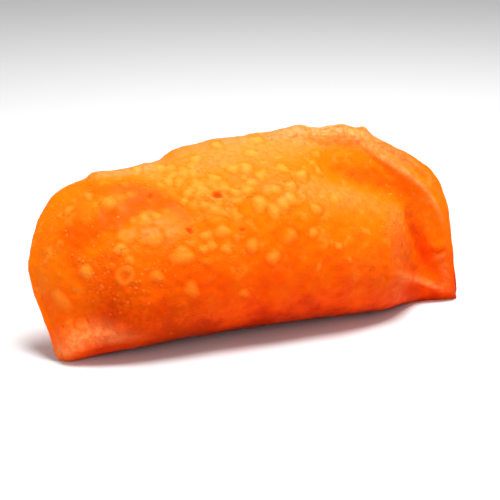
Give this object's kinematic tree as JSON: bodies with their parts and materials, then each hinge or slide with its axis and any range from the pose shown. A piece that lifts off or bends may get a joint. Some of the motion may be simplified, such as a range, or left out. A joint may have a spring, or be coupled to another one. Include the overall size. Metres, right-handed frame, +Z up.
{
  "type": "empanada",
  "caption": "Whole fried half-moon turnover of thin blistered dough, standing on its fold with the sealed edge up and one end tucked.",
  "frame": {"origin": "on the floor below the middle of the bounding box", "axes": "+X along the fold towards the tucked end, -Y out of the broad front face, +Z up to the sealed edge"},
  "size_m": [0.1974, 0.0576, 0.0828],
  "materials": {
    "dough": "orange fried rice dough, satin under a thin film of oil"
  },
  "bodies": {
    "root": {"empanada": "dough"}
  },
  "joints": []
}
